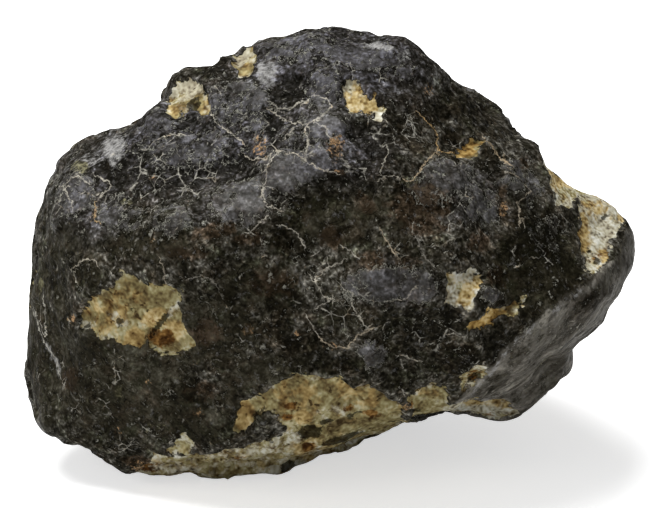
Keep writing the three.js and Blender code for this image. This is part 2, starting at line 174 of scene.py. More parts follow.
# Soft zones of each kind, seen from the front. Each is six numbers: its middle, right and up, its
# half sizes along and across, its turn in degrees and its strength. Up to "crackled" the kinds are
# kinds of crust, save the pale painted highlights and the violet painted sheen. "rust" stains both
# crust and rock. "honey" and the chalk and clast kinds are kinds of grain in the broken rock; the
# chalk kind also paints light low in the bottom break, the clast kind paints shadow in holes and
# under ledges, and the last kind is painted shade, which makes that rock darker and more even.
ZONES = {
    "plate": [
        (-24.5, 17.5, 9, 3.2, 0, 0.75), (-29, 20.7, 4, 2.6, 40, 0.7), (-43, 10, 3.2, 4, -30, 1.0),
        (-35.5, 6.5, 4, 3.5, 0, 0.6), (-17, 25.5, 4.5, 4, -20, 0.65), (-12.2, 24.5, 1.6, 4.5, -12, 0.75),
        (-8, 20, 2.5, 2, 0, 0.5), (-5, 34.5, 7, 2.6, 0, 0.6), (-1.5, 27, 3, 4, 0, 0.8),
        (5, 33, 7, 2.6, -5, 1.0), (12, 31, 3, 2, -40, 0.7), (-8, 13.8, 4, 3.6, 20, 1.0),
        (-2.5, 15.5, 2.5, 3, 0, 1.0), (-1.5, 21, 3.5, 2.5, 0, 0.9), (-26.5, 6, 4, 2.8, 0, 0.6),
        (-15, 8.5, 6, 3.6, 20, 0.8), (18, 12, 5.5, 3.2, 20, 0.9), (25, 8.5, 3.6, 3, -30, 0.7),
        (31.5, 12.5, 2.8, 4.5, 35, 0.6), (36, 3.5, 3, 4, 0, 0.4), (9, -5, 7, 3, 0, 1.0),
        (14.5, -5.5, 3, 2.6, 0, 0.9), (7, -16.5, 2.6, 2.6, 0, 0.7), (26, -7, 3, 1.1, 0, 0.8),
        (-46, 6, 1.6, 3, 0, 0.5),
    ],
    "smoke": [
        (2, -3.5, 5, 4.6, 0, 0.9), (-3, -3, 2.4, 5, -20, 1.0), (0.5, -0.5, 3, 1.4, 0, 1.0),
        (-21, -2.5, 2, 2, 0, 0.8), (-9.5, -1, 1.5, 1.2, 0, 0.9), (-20, 7, 4, 3, 0, 0.6),
        (-27.5, -21.5, 3, 2, 0, 0.9), (-30.5, -20.5, 1.2, 1.2, 0, 1.0), (-15, -17, 2.6, 2.6, 0, 0.7),
        (-19, -26, 2.6, 3.2, 0, 0.6), (-45, -7.5, 3, 2, 0, 0.5), (17.5, 3, 4, 2.2, 30, 0.8),
        (22, 6.5, 2.5, 2, 0, 0.9), (26.3, 2.4, 1, 1.4, 20, 1.0), (5, -14.5, 4, 3, 0, 0.8),
        (9, 26.5, 3, 2, -20, 0.8), (16.5, 28, 2, 2, 0, 1.0), (-33, 20, 2, 1.6, 30, 0.6),
        (21.5, -14, 2, 1.4, 0, 0.7), (33, 14, 1.4, 1.2, 0, 1.0), (-15, 12, 3, 2, 0, 0.5),
        (-48.5, -14, 1.2, 9, 8, 0.25), (28.5, -17.5, 9, 1.5, 41, 0.9), (35, -12.5, 5, 2.6, 38, 1.0),
        (31, -22, 6, 4, 0, 0.8), (-8, 31, 8, 3, 0, 0.5), (-3, 17, 7, 4, 0, 0.4), (28, 5, 4, 4, 0, 0.5),
        (44, -4, 4, 1, 50, 0.6),
    ],
    "soot": [
        (-34.5, 13.5, 4.5, 3, -15, 1.0), (-26, 20, 11, 4, 12, 0.35), (-17, 28, 6, 3, 20, 0.4),
        (-30, 10, 4, 2.4, 0, 0.6), (-22, 13.2, 8, 2, 5, 0.9), (-15.5, 15, 2.5, 1.6, 0, 1.0),
        (-7, 27.5, 3.6, 2.8, 20, 1.0), (-9.5, 22, 1.6, 2.6, 0, 0.9), (-25, 22.6, 3.4, 1, -10, 0.8),
        (-20, 31, 3, 1.5, 20, 0.7), (0, 10.5, 9, 2.4, 12, 1.0), (6, 13, 4, 3.4, 0, 0.8),
        (4.5, 20, 2.2, 2.2, 0, 1.0), (8.5, 17.5, 3, 3, 0, 0.8), (11, 22, 6, 3.6, 0, 0.7),
        (17, 23.5, 3, 2.2, 0, 0.9), (20.5, 19, 2.4, 1.4, 0, 1.0), (23.5, 24, 4, 2.6, -35, 0.9),
        (26, 15, 2.6, 2.2, 0, 0.7), (11.5, 11, 1.8, 1.3, 0, 1.0), (33, 1, 6, 6, -10, 0.9),
        (30, -6, 4, 4.6, 0, 0.8), (38, -4, 4, 4, 0, 0.8), (28, -15, 3.5, 3, 0, 0.8),
        (20, -11, 1.6, 2, 0, 1.0), (13, -12, 6, 3.4, 0, 0.9), (20, -17, 6, 3, 0, 0.7),
        (11, -20.3, 3, 2.4, 0, 1.0), (-5, -16, 4, 3, 0, 0.8), (-1, -18.5, 5, 1.5, 0, 0.9),
        (-9, -12, 3, 2.4, 0, 0.7), (-8, -7, 3, 3, 0, 0.8), (-17, -5, 6, 3.6, 0, 0.6),
        (-23.5, -6.5, 1.4, 2, 0, 0.7), (-24, -23, 4, 2.6, 0, 0.6), (-7, 3.5, 3, 3, 0, 0.8),
        (-46, -4, 2.4, 3, 0, 0.4), (28, -21.5, 2.6, 1, 40, 0.8), (43, -8, 3, 1.6, 50, 0.6),
    ],
    "glaze": [
        (-35, -21, 13, 9, -15, 1.0), (-24, -27, 9, 5, 0, 0.8), (-20, -13, 9, 6, 0, 0.9),
        (-12, -5, 7, 4, 0, 0.8), (-12, -20, 9, 3, 15, 0.7), (0, 5.5, 6, 4.4, 0, 1.0),
        (6, 8, 4, 2.5, 0, 0.9), (-44.5, 2.5, 4, 3, 20, 1.0), (-41, -3, 3, 3, 0, 0.9),
        (-31, 1, 8, 2, 0, 0.8), (-47, -13, 4, 15, 0, 1.0), (34, -3, 9, 9, 0, 0.8), (10, 3, 4, 3, 0, 0.5),
        (4, -11, 6, 2, 0, 0.5),
    ],
    "ruddy": [
        (6.5, -1, 2.5, 1.6, 0, 0.9), (14, 7, 5, 3.4, -30, 1.0), (-0.4, 2.8, 1.8, 2, 0, 0.9),
        (5.4, 8.6, 2.4, 1.6, -40, 0.8), (13, -1.5, 2.5, 1.2, 0, 0.7), (16.5, 8, 3.5, 2.6, 0, 1.0),
        (15, 11, 2.4, 0.8, 0, 0.8), (24.5, 2, 2, 2.2, 0, 0.9), (-19.5, 4, 4, 1.4, 10, 0.9),
        (-14, 2.5, 3, 1.2, 0, 0.8), (-24, 0, 4, 1.2, 0, 0.7), (-10, -5, 4, 2.6, 0, 0.7),
        (-21, -13, 3, 2, 0, 0.8), (-22, -23, 3, 2, 0, 0.6), (-44, -21, 1.6, 1.8, 0, 1.0),
        (27, -4, 2, 2, 0, 0.7), (28.5, 9, 1.2, 2.4, 0, 0.7), (31.8, 15, 1.1, 1.1, 0, 0.8),
        (42, -9, 3, 2.4, 40, 0.6), (-32, -34.5, 3, 0.8, 0, 0.9),
    ],
    # Pale painted highlights: glints on the top edge, a haze of light on the upper left and thin lines of
    # light along the left rim and the right end's ridge.
    "painted_highlight": [
        (-36.6, 17.6, 2.1, 2.7, 0, 0.9), (-40, 16, 2, 1.6, 0, 0.4), (-11, 30.4, 1.8, 2.2, 0, 0.8),
        (8, 34.4, 3, 0.6, -12, 1.0), (12, 33, 1.2, 1, 0, 0.5), (-46.9, -16.6, 0.5, 4.2, 16, 0.6),
        (26.3, -19.6, 5, 0.5, 48, 0.6), (32.3, -13.2, 3.8, 0.5, 42, 0.6), (39.3, -7.8, 5, 0.5, 34, 0.5),
    ],
    "mossy": [
        (-42, 14.4, 1.5, 1.2, 0, 1.0), (-34.3, 8.7, 1.1, 0.6, 0, 0.8), (-48.8, -5, 0.5, 1.3, 0, 1.0),
        (-35.5, -23, 0.8, 1.6, 10, 0.5), (-30, -29, 2, 0.8, 15, 0.5), (12.5, 12, 1.5, 0.6, 0, 0.7),
    ],
    # A violet-grey painted sheen: the overhead light reflected on the upper slopes.
    "violet_sheen": [
        (-22, 19, 22, 9, 12, 1.0), (-40, 10, 7, 8, 0, 0.8), (0, 32, 18, 9, 0, 1.0),
        (0, 17, 10, 6, 0, 0.9), (-16, 8, 9, 4, 15, 0.6), (22, 10, 8, 5, 0, 0.6), (10, -5, 7, 4, 0, 0.7),
    ],
    "crackled": [
        (-8, 17.5, 6, 3, 0, 0.9), (-3, 19.5, 4, 2, 0, 0.9), (-43, 9, 4, 5, 0, 0.7),
        (-20, 24, 6, 4, 0, 0.5), (3, 30, 10, 4, 0, 0.4), (24, 17, 6, 5, 0, 0.6), (12, -1, 7, 4, 0, 0.7),
        (-4, -2, 5, 5, 0, 0.7), (16, -14, 8, 5, 0, 0.5), (4, -9, 7, 5, 0, 0.9), (-27, 13, 11, 5, 10, 0.9),
        (-31, 9, 5, 3, 0, 0.6), (22, 7, 7, 5, 0, 0.6), (11, 22, 8, 4, 0, 0.7), (-10, 9, 3, 4, 0, 0.6),
        (-12, -9, 9, 5, 0, 0.3), (-33, -24, 13, 9, 0, 0.35), (-14, -18, 7, 6, 0, 0.4),
    ],
    "rust": [
        (-12, 18, 1.5, 2.2, 0, 0.55), (0.5, 17.9, 1.5, 1.9, 0, 0.8), (1, 13.7, 1, 0.5, 0, 1.0),
        (-30, 12.7, 0.9, 0.7, 0, 0.8), (-39.7, 7, 0.6, 1.4, 0, 0.8), (-30, 2.2, 0.8, 0.6, 0, 0.6),
        (28.6, 7.6, 0.7, 1.3, 0, 0.8), (-14, -12.6, 1, 0.9, 0, 1.0), (-6, -13.4, 0.9, 0.9, 0, 0.5),
        (-43.4, -10.8, 0.9, 0.6, 20, 1.0), (-36, -29.5, 0.7, 0.9, 0, 0.6),
        (-22.3, -26.3, 0.9, 0.7, 0, 0.9), (-23, -18.5, 0.5, 0.9, 0, 0.7),
        (-30.9, -21.3, 0.8, 0.8, 0, 0.5), (0, -15.4, 2, 0.7, 0, 0.5), (16, 27.4, 1, 1.2, 0, 0.5),
        (-28.7, -14, 2.3, 1.6, -15, 1.0), (-30.3, -11, 1.2, 0.8, 45, 0.45),
        (-6.9, -25.6, 1.1, 0.9, 20, 1.0), (-7.5, -27.7, 1, 0.8, 0, 1.0), (2.9, -26, 1.2, 0.5, 0, 1.0),
        (-10, -32.6, 0.7, 0.4, 0, 0.8), (6.8, -27.1, 1.5, 0.9, -15, 1.0), (-4, -32.7, 1.3, 0.9, 10, 1.0),
        (12.5, -25.3, 1.6, 0.8, 0, 0.7), (-15.8, -34.3, 1, 0.5, 0, 0.9), (23.2, -20.4, 1.6, 0.8, 30, 0.5),
        (44, -0.5, 1.2, 0.8, 20, 0.6), (-31.6, -35.6, 2.4, 0.9, -10, 0.8), (23.5, -20.4, 2, 1, 30, 0.5),
    ],
    "honey": [
        (-30.2, -11, 2, 1.5, 30, 1.0), (-33, -14.3, 1.8, 1.6, 0, 1.0), (-26.5, -13, 2.4, 2, 0, 0.8),
        (-15, -25.8, 1.6, 2.6, 10, 1.0), (-6, -24.6, 3.6, 3, 0, 0.45), (-5.3, -27.6, 1.6, 1.3, 0, 1.0),
        (-14.6, -28.3, 1.6, 1.2, 0, 1.0), (4, -23.6, 4, 2, -10, 0.5), (-3, -33, 4, 2, 0, 0.6),
        (-38, -10, 4, 3, 0, 0.5), (-35.5, -7, 3, 1.6, 0, 0.5), (-27, 24.6, 1.8, 1.4, 0, 0.55),
        (-21.6, 24.6, 1.2, 1.6, 0, 0.6), (22.4, -6.6, 1.3, 2, -15, 1.0), (24.4, -4.9, 0.9, 1.3, 0, 1.0),
        (19.6, -3.4, 0.8, 0.5, 0, 0.8), (42, 4, 0.9, 4, 5, 1.0), (43.5, 8, 2.5, 1.6, 0, 0.4),
        (38, 13, 2, 2, 0, 0.8), (45.6, -0.5, 1.2, 1.6, 0, 1.0), (47.6, 7, 0.7, 3, 10, 0.4),
        (5.2, 26, 3, 3, -30, 0.9), (16, -23.5, 2, 1, 0, 0.5), (27, -25, 5, 1, 0, 0.7),
        (26, -10.6, 3, 1.6, 30, 1.0), (22, 17.6, 2, 1.2, 20, 1.0), (-14.8, 31, 1, 2, 0, 0.35),
    ],
    # Pale chalky grains. Low in the bottom break they also paint light onto rock that curves under into
    # shade.
    "chalk_and_painted_light": [
        (-24.4, 27.6, 3.4, 1.6, 15, 0.55), (19.9, -7.4, 1.2, 1.8, 0, 1.0), (22.3, -3.7, 1.6, 1, 0, 0.8),
        (44.6, 4.6, 3, 5.5, 0, 0.9), (4, 26, 2.4, 2.4, 0, 0.6), (7.6, 23, 0.9, 0.9, 0, 1.0),
        (-36, -11, 1.9, 1.4, -30, 0.8), (-41, -12, 1.5, 1.1, 0, 0.7), (-26.6, -9.4, 0.6, 2, -40, 0.6),
        (-14, -34.2, 8, 2.4, 10, 0.4), (-27, -36, 6, 2, 0, 0.5), (-8, -31.5, 3, 1.6, 20, 0.3),
        (0, -27, 4, 1.6, 10, 0.4), (31, -8, 1.6, 1.2, 0, 0.25), (24, -26, 6, 1, 0, 0.5),
        (-6, -35, 6, 1.6, 12, 0.6), (3, -32.4, 5, 1.4, 18, 0.3), (-15, 34, 1.6, 2, 0, 0.6),
    ],
    # Dark clasts, and painted shadow: in the upper left patch's hollow, in a hole and under the ledges at
    # the foot of the bottom break.
    "clast_and_shadow": [
        (-3.5, -30.2, 2.2, 1.2, 10, 1.0), (-1.2, -28.4, 1.7, 0.4, 15, 1.0), (1.6, -31.6, 4, 0.8, 18, 1.0),
        (3.8, -27, 1.4, 0.4, 0, 0.8), (-11.6, -26.8, 2, 1.2, 20, 0.6), (-6, -25.2, 0.6, 0.5, 0, 0.8),
        (-23.3, 25.4, 1.5, 0.9, 30, 1.0), (23.5, -20.6, 1.2, 0.7, 30, 0.8),
        (-35.6, -11.6, 1, 0.8, -30, 0.8), (-33.6, -9.4, 0.5, 0.3, 20, 0.9), (-31, -9.6, 0.4, 0.4, 0, 0.9),
        (-41.1, -12, 0.7, 0.5, 0, 1.0), (-29.2, -12.1, 0.6, 3.2, -40, 1.0), (-33, -36, 1, 0.5, 0, 0.5),
        (-7.4, -35.4, 1.6, 0.7, 10, 1.0), (13.4, -26.6, 2, 0.7, 10, 0.7), (3, -27.6, 0.8, 0.6, 0, 0.6),
        (44.6, 3.2, 0.6, 0.4, 30, 1.0), (44, -1.3, 0.5, 0.7, 0, 1.0), (45.6, 6.4, 0.4, 0.4, 0, 1.0),
        (43, 0.8, 0.4, 0.4, 0, 1.0),
    ],
    # Painted shade: the rock made darker and more even on the undersides at the bottom and on some
    # patches high on the stone.
    "rock_shade": [
        (-18, -35, 16, 3, 8, 0.3), (25, -26, 8, 2, 0, 0.3), (-24.4, 27, 4.5, 3.5, 0, 0.75),
        (-14.5, 33, 2.4, 4, 0, 0.7), (5, 25, 5, 4, -30, 0.15), (45, 0, 4, 4, 0, 0.5),
        (43.5, 6, 4, 6, 0, 0.35),
    ],
}

# The right end's underside, drawn out in streaks and given a soft grey painted sheen, as of the pale
# floor reflected in it, seen from the front.
DRAWN_OUT_AND_SHEEN = [(20.5, -23.8), (24, -20.2), (28.3, -16), (31.5, -13.2), (36, -9), (40, -5.4), (44.5, -2.6),
             (47, -1), (49.5, 6), (58, 6), (58, -40), (20, -40)]

# Slight bulges, and dents with a height below zero, seen from the front: the middle of each, its
# half sizes and its height.
BULGES = [
    ((39, -19.5), (4, 6.5), 1.9),
    ((46.8, 7.6), (2.5, 3), 0.8),
    ((-20, -38), (5, 3), 0.5),
    ((29, -27.5), (5, 3), 0.5),
    ((49.5, -2.5), (3, 4), 0.6),
    ((49.5, 5), (2, 2), -0.4),
    ((46, -9.3), (2.5, 3), -0.5),
    ((45.5, 9), (5, 3), 0.9),
    ((37.7, 13.8), (2.4, 2), 0.6),
    ((33.8, 17.3), (3.4, 3), 0.5),
    ((29, 22.3), (3, 3), 0.6),
    ((16.5, 33.5), (6, 4), -0.8),
    ((22, 28), (4, 3), -0.5),
    ((3.3, 38), (4, 2.5), -0.8),
    ((-17, 33.5), (3, 2.5), -0.7),
    ((-28.5, 27), (2, 3), -0.6),
    ((-49, 8), (3, 10), -0.9),
    ((-45.4, 15), (3, 3), 0.5),
    ((-50.5, -7.5), (2.5, 5), 0.4),
    ((-51, -15), (2.5, 5), -0.4),
    ((-47, -29.5), (5, 5), 0.9),
    ((-3, 37.6), (5, 3), 0.4),
    ((-8.5, -36.5), (3.5, 2.5), 1.2),
    ((-0.5, -34), (6, 4), -0.4),
    ((5.4, -31.5), (5, 4), -0.4),
    ((14, -28.5), (4, 2.5), -0.8),
]

# How the stone is worked. Heights, depths and distances are in millimetres, and the squeezes say
# how much the rock's grain is flattened along the view, so that it isn't drawn out where the rock
# turns away from the front.
BALL_CUTS = 127
FRONT_SHARE = 0.15
SPREAD_ROUNDS = 3
SPREAD_STEPS = 5
BLUR_STEPS = 9
FRONT_SQUEEZE = 0.2
EDGE_SQUEEZE = 0.35
CRUST_THICKNESS = 0.4
RIDGE_HEIGHT = 0.45
PLATE_HEIGHT = 0.35
LEDGE_HEIGHT = 0.4
SOOT_DEPTH = 0.25
CAVITY_DEPTH = 0.45
CRACK_DEPTH = 0.1
MEAN_HEIGHT = 0.4
FARTHEST = 90.0
NEAREST = 30.0

# Beyond these distances an outline or a crack no longer matters.
OUTLINE_REACH = 4.0
CRACK_REACH = 9.0

# The lens, in millimetres, and the studio floor, in metres.
LENS = 178.6
SENSOR = 36
FLOOR_RADIUS = 4.0


def eye_axes(view):
    """Right, up and towards the eye, for an azimuth and an elevation in degrees."""
    azimuth, elevation = (math.radians(angle) for angle in view)
    towards = Vector((math.sin(azimuth) * math.cos(elevation), -math.cos(azimuth) * math.cos(elevation),
                      math.sin(elevation)))
    right = Vector((math.cos(azimuth), math.sin(azimuth), 0))
    return right, towards.cross(right), towards


def seen_from(points, view):
    """Places right, up and towards the eye of each point, as the eye sees them."""
    right, up, towards = (np.array(axis) for axis in eye_axes(view))
    away = points - np.array(MIDDLE)
    near = away @ towards
    larger = EYE_DISTANCE / (EYE_DISTANCE - near)
    return np.stack([(away @ right) * larger, (away @ up) * larger, near], axis=1)


def to_segment(places, start, end):
    """Distance from flat places to a straight segment, and on which side of it they lie."""
    start, side = np.array(start, float), np.subtract(end, start).astype(float)
    away = places - start
    along = np.clip(away @ side / (side @ side), 0, 1)
    distance = np.linalg.norm(away - along[:, None] * side, axis=1)
    return distance, np.sign(away[:, 0] * side[1] - away[:, 1] * side[0])


def inside_outline(places, outline):
    """Distance from flat places to a closed outline, above zero inside it."""
    nearest = np.full(len(places), np.inf)
    inside = np.zeros(len(places), bool)
    for start, end in zip(outline, outline[1:] + outline[:1]):
        nearest = np.minimum(nearest, to_segment(places, start, end)[0])
        crosses = (start[1] > places[:, 1]) != (end[1] > places[:, 1])
        if crosses.any():
            reach = (end[0] - start[0]) * (places[:, 1] - start[1]) / (end[1] - start[1]) + start[0]
            inside ^= crosses & (places[:, 0] < reach)
    return np.where(inside, nearest, -nearest)


def between(value, low, high):
    """0 below low, 1 above high and smooth between them."""
    share = np.clip((value - low) / (high - low), 0, 1)
    return share * share * (3 - 2 * share)


def lumps(points, size, octaves=1, shift=0.0):
    """Smooth noise of one size, about -1 to 1, at each point."""
    start = Vector((shift, 2 * shift, -shift))
    values = [noise.fractal(Vector(point) / size + start, 1.0, 2.0, octaves) for point in points]
    return np.array(values)


def cells(points, size, shift=0.0):
    """Distance to the nearest of scattered points, in their own spacing, at each point."""
    start = Vector((shift, 2 * shift, -shift))
    return np.array([noise.voronoi(Vector(point) / size + start)[0][0] for point in points])


def read_rows(mesh, field):
    """The places in metres, or the outward directions, of the mesh's points."""
    flat = np.empty(len(mesh.vertices) * 3, np.float32)
    mesh.vertices.foreach_get(field, flat)
    return flat.reshape(-1, 3).astype(float)


def write_points(mesh, points):
    """Moves the mesh's points, given in millimetres."""
    mesh.vertices.foreach_set("co", (points * MM).astype(np.float32).ravel())
    mesh.update()


def write_attribute(mesh, name, values):
    """Keeps one number at each of the mesh's points under a name."""
    layer = mesh.attributes.new(name, "FLOAT", "POINT")
    layer.data.foreach_set("value", values.astype(np.float32))


def write_place(mesh, name, points):
    """Keeps a place in millimetres at each of the mesh's points under a name."""
    layer = mesh.attributes.new(name, "FLOAT_VECTOR", "POINT")
    layer.data.foreach_set("vector", points.astype(np.float32).ravel())


def merged_shape(node):
    """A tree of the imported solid's faces, with its loose triangles joined."""
    work = bmesh.new()
    work.from_mesh(node.data)
    bmesh.ops.remove_doubles(work, verts=work.verts, dist=0.01 * MM)
    tree = BVHTree.FromBMesh(work)
    work.free()
    return tree


def even_ball():
    """A ball of even squares, a little finer towards the front."""
    ball = bmesh.new()
    bmesh.ops.create_cube(ball, size=2)
    bmesh.ops.subdivide_edges(ball, edges=ball.edges, cuts=BALL_CUTS, use_grid_fill=True)
    front = eye_axes(FRONT)[2]
    for point in ball.verts:
        warped = Vector([math.tan(place * math.pi / 4) for place in point.co])
        point.co = (warped.normalized() + front * FRONT_SHARE).normalized()
    return ball


def blur(work, steps):
    """Moves each point towards the middle of its neighbours, some times over."""
    for _ in range(steps):
        bmesh.ops.smooth_vert(work, verts=work.verts, factor=0.5, use_axis_x=True, use_axis_y=True,
                              use_axis_z=True)


def rough_stone(node):
    """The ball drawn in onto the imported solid, with the solid's flat facets blurred away."""
    solid = merged_shape(node)
    ball = even_ball()
    middle = MIDDLE * MM
    for point in ball.verts:
        heading = point.co.copy()
        hit = solid.ray_cast(middle + heading * FARTHEST * MM, -heading)[0]
        point.co = hit if hit else middle + heading * NEAREST * MM
    for _ in range(SPREAD_ROUNDS):
        blur(ball, SPREAD_STEPS)
        for point in ball.verts:
            point.co = solid.find_nearest(point.co)[0]
    blur(ball, BLUR_STEPS)
    bmesh.ops.recalc_face_normals(ball, faces=ball.faces)
    mesh = bpy.data.meshes.new("meteorite stone")
    ball.to_mesh(mesh)
    ball.free()
    return mesh


def broken_places(points):
    """How deep each point lies inside the broken patches, and how white and rusty they are."""
    deepest = np.full(len(points), -OUTLINE_REACH)
    white = np.zeros(len(points))
    rusty = np.zeros(len(points))
    bend = np.stack([lumps(points, 2.2, 2, 11), lumps(points, 2.2, 2, 23)], axis=1) * 0.5
    for view, begins, whiteness, rustiness, outline in BROKEN:
        places = seen_from(points, view)
        inside = inside_outline(places[:, :2] + bend, outline)
        inside = np.minimum(inside, places[:, 2] - begins)
        nearer = inside > deepest
        deepest = np.where(nearer, inside, deepest)
        white = np.where(nearer, whiteness, white)
        rusty = np.where(nearer, rustiness, rusty)
    return deepest, white, rusty


def crack_places(points):
    """Sideways offset from the nearest larger crack, how near it is, and how rusty."""
    places = seen_from(points, FRONT)
    nearest = np.full(len(points), CRACK_REACH)
    offset = np.full(len(points), CRACK_REACH)
    rusty = np.zeros(len(points))
    bold = np.zeros(len(points))
    for rustiness, boldness, path in CRACKS:
        for start, end in zip(path, path[1:]):
            distance, side = to_segment(places[:, :2], start, end)
            nearer = distance < nearest
            nearest = np.where(nearer, distance, nearest)
            offset = np.where(nearer, distance * side, offset)
            rusty = np.where(nearer, rustiness, rusty)
            bold = np.where(nearer, boldness, bold)
    nearness = between(1.2 - nearest, 0, 0.7) * between(places[:, 2], -8, 0) * bold
    return offset, nearness, rusty


def zone_strength(places, kind):
    """How strongly each place, seen from the front, takes part in one kind of soft zone."""
    strength = np.zeros(len(places))
    for right, up, half_long, half_wide, turn, most in ZONES[kind]:
        away = places[:, :2] - np.array((right, up))
        cos, sin = math.cos(math.radians(turn)), math.sin(math.radians(turn))
        across = np.stack([(away[:, 0] * cos + away[:, 1] * sin) / half_long,
                           (away[:, 1] * cos - away[:, 0] * sin) / half_wide], axis=1)
        inside = between(1.4 - np.linalg.norm(across, axis=1), 0, 0.9)
        strength = np.maximum(strength, inside * most)
    return strength


def bulge_height(points):
    """How far the bulges lift each point, and the dents sink it."""
    places = seen_from(points, FRONT)
    height = np.zeros(len(points))
    for middle, half, most in BULGES:
        away = np.linalg.norm((places[:, :2] - np.array(middle)) / np.array(half), axis=1)
        height += most * between(1 - away, 0, 1)
    return height


def weather(mesh):
    """Works the fine relief into the stone and keeps its markings as attributes."""
    points = read_rows(mesh, "co") / MM
    outward = read_rows(mesh, "normal")
    front = seen_from(points, FRONT)
    towards = np.array(eye_axes(FRONT)[2])
    facing = outward @ towards
    shown = between(front[:, 2], -20, -5) * between(facing, 0.0, 0.25)
    write_place(mesh, "worked_from", points)
    squeeze = FRONT_SQUEEZE + EDGE_SQUEEZE * between(np.abs(front[:, 1]), 14, 22)
    squeeze *= between(facing, -0.3, 0.1) * between(front[:, 2], -30, -15)
    write_place(mesh, "grain_from", points - np.outer(front[:, 2] * squeeze, towards))

    # On the sides that the lists leave out, each kind's zones are scattered by noise: how large they
    # are, where the noise starts and how strong they are.
    unseen = {
        "plate": (9.0, 31, 0.9),
        "smoke": (7.0, 33, 0.8),
        "soot": (8.0, 43, 0.8),
        "glaze": (14.0, 37, 0.9),
        "ruddy": (7.0, 41, 0.5),
        "painted_highlight": (9.0, 47, 0.4),
        "mossy": (6.0, 49, 0.4),
        "violet_sheen": (16.0, 51, 0.9),
        "crackled": (12.0, 53, 0.9),
        "rust": (5.0, 59, 0.3),
        "honey": (4.0, 61, 0.8),
        "chalk_and_painted_light": (5.0, 67, 0.6),
        "clast_and_shadow": (4.5, 71, 0.9),
        "rock_shade": (8.0, 73, 0.3),
    }
    zones = {}
    for kind, (size, shift, most) in unseen.items():
        scattered = between(lumps(points, size, 2, shift), 0.05, 0.4) * most
        zones[kind] = np.maximum(shown * zone_strength(front, kind), (1 - shown) * scattered)

    broken, white, rusty = broken_places(points)
    offset, nearness, crack_rust = crack_places(points)
    # The right end's underside, with its streaks and its painted grey sheen.
    drawn_out_and_sheen = inside_outline(front[:, :2] + lumps(points, 5.0, 2, 13)[:, None] * 0.4, DRAWN_OUT_AND_SHEEN)
    drawn_out_and_sheen = np.minimum(drawn_out_and_sheen, front[:, 2] + 14 + lumps(points, 8.0, 2, 19) * 8)
    calm = 1 - 0.6 * between(drawn_out_and_sheen, -1, 2)

    inside = between(broken, -0.5, 0.3)
    swell = lumps(points, 9.0, 1, 1) * 0.5 + lumps(points, 4.6, 2, 5) * 0.42
    raised = between(zones["plate"] + lumps(points, 2.4, 2, 15) * 0.35, 0.3, 0.6) * PLATE_HEIGHT
    ledges = between(lumps(points, 7.5, 3, 17), -0.03, 0.09) * LEDGE_HEIGHT
    scaly = lumps(points, 1.8, 3, 7) * (0.12 + 0.26 * zones["soot"]) * (1 - 0.7 * zones["glaze"])
    sunk = zones["soot"] * SOOT_DEPTH
    cavities = between(0.5 - cells(points, 3.4, 3), 0, 0.35) * CAVITY_DEPTH
    grain = (lumps(points, 3.0, 3, 9) * 0.35 - cavities) * (0.3 + 0.7 * between(broken, 0.4, 2.5))
    height = (1 - inside) * (swell + raised + ledges + scaly - sunk) * calm
    height += inside * (grain + 0.6 * swell)
    height += (1 - inside) * CRUST_THICKNESS * (0.4 + 0.6 * between(broken, -4, 0))
    height -= nearness * between(0.6 - np.abs(offset), 0, 0.6) * CRACK_DEPTH
    height += RIDGE_HEIGHT * (between(drawn_out_and_sheen, -4, -0.2) - between(drawn_out_and_sheen, -0.2, 2.2))
    height += bulge_height(points)
    points += outward * (height - MEAN_HEIGHT)[:, None]
    points[:, 2] = np.maximum(points[:, 2], 0)
    write_points(mesh, points)

    markings = {
        **zones,
        "broken": np.clip(broken, -3, 3),
        "broken_white": white,
        "broken_rust": rusty,
        "crack_offset": np.clip(offset, -3, 3),
        "crack_near": nearness,
        "crack_rust": crack_rust,
        "drawn_out_and_sheen": np.clip(drawn_out_and_sheen, -4, 4),
    }
    for name, values in markings.items():
        write_attribute(mesh, name, values)


